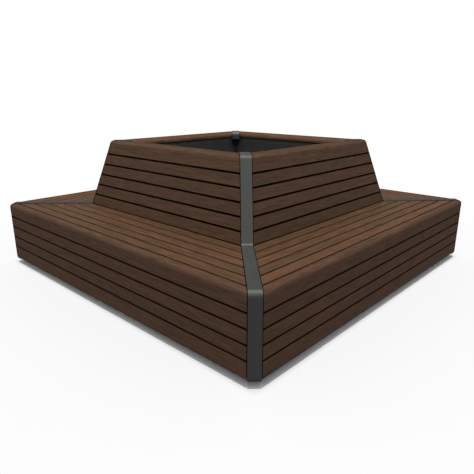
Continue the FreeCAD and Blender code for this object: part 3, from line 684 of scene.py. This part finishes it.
def makeScrews(outlines):
    # each head is three rings round its own axis: a foot ring, the same ring raised, and a
    # smaller one on top, each point at foot + height * axis + radius * (cos, sin)
    screw = screwSizes
    places = screwPlaces(outlines)
    turn = np.linspace(0, 2 * math.pi, screw["sides"], endpoint=False)
    radii = np.array([1, 1, screw["crown"]]) * screw["radius"]
    heights = np.array([-screw["sunk"], screw["height"] * screw["crownFrom"], screw["height"]])
    axis = np.stack([places[:, 3], np.zeros(len(places)), places[:, 4]], -1)
    along = np.array([0.0, 1.0, 0.0])
    beside = np.cross(axis, along)
    ring = along[None, None] * np.cos(turn)[None, :, None] + beside[:, None] * np.sin(turn)[None, :, None]
    points = (places[:, None, None, :3] + axis[:, None, None] * heights[None, :, None, None]
              + ring[:, None] * radii[None, :, None, None])
    sides, count = screw["sides"], len(places)
    index = np.arange(3 * sides).reshape(3, sides)
    nextIndex = np.roll(index, -1, 1)
    quads = np.stack([index[:-1], index[1:], nextIndex[1:], nextIndex[:-1]], -1).reshape(-1, 4)
    vertices, faces = [], []
    for number, degrees in enumerate(sideAngles.values()):
        vertices.append(turnedAbout(points.reshape(-1, 3), degrees))
        start = ((np.arange(count) + number * count) * 3 * sides)[:, None]
        faces += (start[:, :, None] + quads[None]).reshape(-1, 4).tolist()
        faces += (start + index[0][None]).tolist() + (start + index[2][::-1][None]).tolist()
    piece = addMesh("batten-screws", np.concatenate(vertices).tolist(), faces, smallPartFinish("zincPlate"))
    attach(piece, "root")


def dressFrame():
    # the metal frame, liner and feet keep their CAD shapes and get their finishes, by the
    # start of their names; the rest is the frame
    zinc = smallPartFinish("zincPlate")
    finishes = {
        "frame": powderCoat("frameCoat"), "liner": powderCoat("linerCoat"),
        "corner_post": powderCoat("postCoat"), "post_heads": powderCoat("headCoat"),
        "foot_pads": smallPartFinish("footRubber"), "drain_spigots": smallPartFinish("drainPlastic"),
        "foot_studs": zinc, "foot_nuts": zinc,
    }
    for name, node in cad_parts.items():
        key = next((key for key in finishes if name.startswith(key)), "frame")
        node.data.materials.clear()
        node.data.materials.append(finishes[key])


# the studio: light from almost straight above and an even sky, a little brighter on the left side;
# the camera and reflections see a white room
studio = {
    "sunLevel": 0.53, "sunAngle": 2.5, "sunFrom": (-0.050, -0.037, 1.0),
    "skyLevel": 0.62, "skyRange": (0.15, 1.45), "skySlant": 0.10, "floorBounce": 0.15,
    "floorSeen": 0.83, "floorGlow": 0.035, "nearFade": (-0.004, 0.030), "floorHalf": 40.0,
    # painted shade on the seen floor: its brightness at distances in metres from the bench's square outline
    "floorShades": (
        (0.0, 0.915), (0.10, 0.922), (0.20, 0.930), (0.40, 0.950), (0.60, 0.965), (1.3, 0.985), (2.4, 1.0),
    ),
    "cornerSpread": 0.20,
}


def seenDirectly(tree):
    # 1 for camera, glossy and transmission rays, 0 for the rest
    rays = addNode(tree, "ShaderNodeLightPath").outputs
    seen = mathOf(tree, "MAXIMUM", rays["Is Camera Ray"], rays["Is Glossy Ray"])
    return mathOf(tree, "MAXIMUM", seen, rays["Is Transmission Ray"])


def makeSky():
    world = bpy.data.worlds.new("paleStudio")
    bpy.context.scene.world = world
    world.use_nodes = True
    tree = world.node_tree
    tree.nodes.clear()
    # strength = level * (1 - slant * x of the direction), growing from low at the horizon to high overhead
    direction = axesOf(tree, addNode(tree, "ShaderNodeTexCoord").outputs["Generated"])
    level = studio["skyLevel"]
    sideways = mathOf(tree, "MULTIPLY_ADD", direction["X"], -level * studio["skySlant"], level)
    strength = mathOf(tree, "MULTIPLY", sideways, mapped(tree, direction["Z"], target=studio["skyRange"]))
    dim = addNode(tree, "ShaderNodeBackground", {"Color": white, "Strength": strength})
    plain = addNode(tree, "ShaderNodeBackground", {"Color": white, "Strength": 1.0})
    both = addNode(tree, "ShaderNodeMixShader", {0: seenDirectly(tree), 1: dim.outputs[0], 2: plain.outputs[0]})
    addNode(tree, "ShaderNodeOutputWorld", {"Surface": both.outputs[0]})


def makeLamp():
    lamp = bpy.data.lights.new("overheadLight", "SUN")
    lamp.energy = studio["sunLevel"] * math.pi
    lamp.angle = math.radians(studio["sunAngle"])
    overhead = addObject("overheadLight", lamp)
    overhead.rotation_euler = Vector(studio["sunFrom"]).to_track_quat("Z", "Y").to_euler()


def makeFloor():
    # seen directly, the floor is lit and shaded at the bench, with a faint painted glow, and fades
    # within a hand's breadth to an emitted pale tone that carries a painted shade by distance from
    # the outline, max(|x|, |y|) - half width; the painted shade weakens round a corner by the share
    # of the side that the point still faces, (1 + past / hypot(past, distance + spread)) / 2 with
    # past = half width - min(|x|, |y|); other rays meet a mid grey
    material, tree = newMaterial("paleFloor")
    axes = axesOf(tree, placeOf(tree))
    reach = [mathOf(tree, "ABSOLUTE", axes[key]) for key in "XY"]
    distance = mathOf(tree, "SUBTRACT", mathOf(tree, "MAXIMUM", *reach), sideSizes["frontX"])
    past = mathOf(tree, "SUBTRACT", sideSizes["frontX"], mathOf(tree, "MINIMUM", *reach))
    wider = mathOf(tree, "ADD", distance, studio["cornerSpread"])
    legs = addNode(tree, "ShaderNodeCombineXYZ", {"X": past, "Y": wider}).outputs[0]
    span = addNode(tree, "ShaderNodeVectorMath", {0: legs}, operation="LENGTH").outputs["Value"]
    share = mathOf(tree, "MULTIPLY_ADD", mathOf(tree, "DIVIDE", past, span), 0.5, 0.5)
    fade = mapped(tree, distance, studio["nearFade"], interpolation_type="SMOOTHSTEP")
    shown, bounce = studio["floorSeen"], studio["floorBounce"]
    lit = addNode(tree, "ShaderNodeBsdfDiffuse", {"Color": (shown, shown, shown, 1)})
    # a faint painted glow on the lit floor near the bench
    glow = addNode(tree, "ShaderNodeEmission", {"Color": white, "Strength": studio["floorGlow"]})
    near = addNode(tree, "ShaderNodeAddShader", {0: lit.outputs[0], 1: glow.outputs[0]})
    # painted shade on the emitted floor, darker near the outline and weaker round the corners
    shaded = mixedColour(tree, share, white, curveOf(tree, distance, studio["floorShades"]))
    pale = addNode(tree, "ShaderNodeEmission", {"Color": shaded, "Strength": 1.0})
    seen = addNode(tree, "ShaderNodeMixShader", {0: fade, 1: near.outputs[0], 2: pale.outputs[0]})
    grey = addNode(tree, "ShaderNodeBsdfDiffuse", {"Color": (bounce, bounce, bounce, 1)})
    both = addNode(tree, "ShaderNodeMixShader", {0: seenDirectly(tree), 1: grey.outputs[0], 2: seen.outputs[0]})
    addNode(tree, "ShaderNodeOutputMaterial", {"Surface": both.outputs[0]})
    half = studio["floorHalf"]
    corners = [(-half, -half, 0), (half, -half, 0), (half, half, 0), (-half, half, 0)]
    addMesh("paleFloor", corners, [(0, 1, 2, 3)], material)


# the camera: a wide view from near the front left corner, a little above the rim
view = {
    "place": (-2.4683, -2.2808, 1.1989), "forward": (0.69907, 0.65236, -0.29279),
    "focalPixels": 461.28, "imagePixels": 474, "sensorWidth": 36,
}


def makeCamera():
    camera = bpy.data.cameras.new("frontLeftView")
    camera.sensor_width = view["sensorWidth"]
    camera.lens = view["focalPixels"] / view["imagePixels"] * view["sensorWidth"]
    camera.dof.use_dof = False
    stand = addObject("frontLeftView", camera)
    stand.location = view["place"]
    stand.rotation_euler = Vector(view["forward"]).to_track_quat("-Z", "Y").to_euler()
    bpy.context.scene.camera = stand


dressFrame()
print("frame dressed")
boards = boardOutlines()
makeBoards(boards)
print("boards made")
makeStraps()
print("corner straps made")
makeScrews(boards)
print("screws made")
makeSky()
makeLamp()
makeFloor()
makeCamera()
bpy.context.scene.view_settings.view_transform = "Standard"
print("studio and camera made")
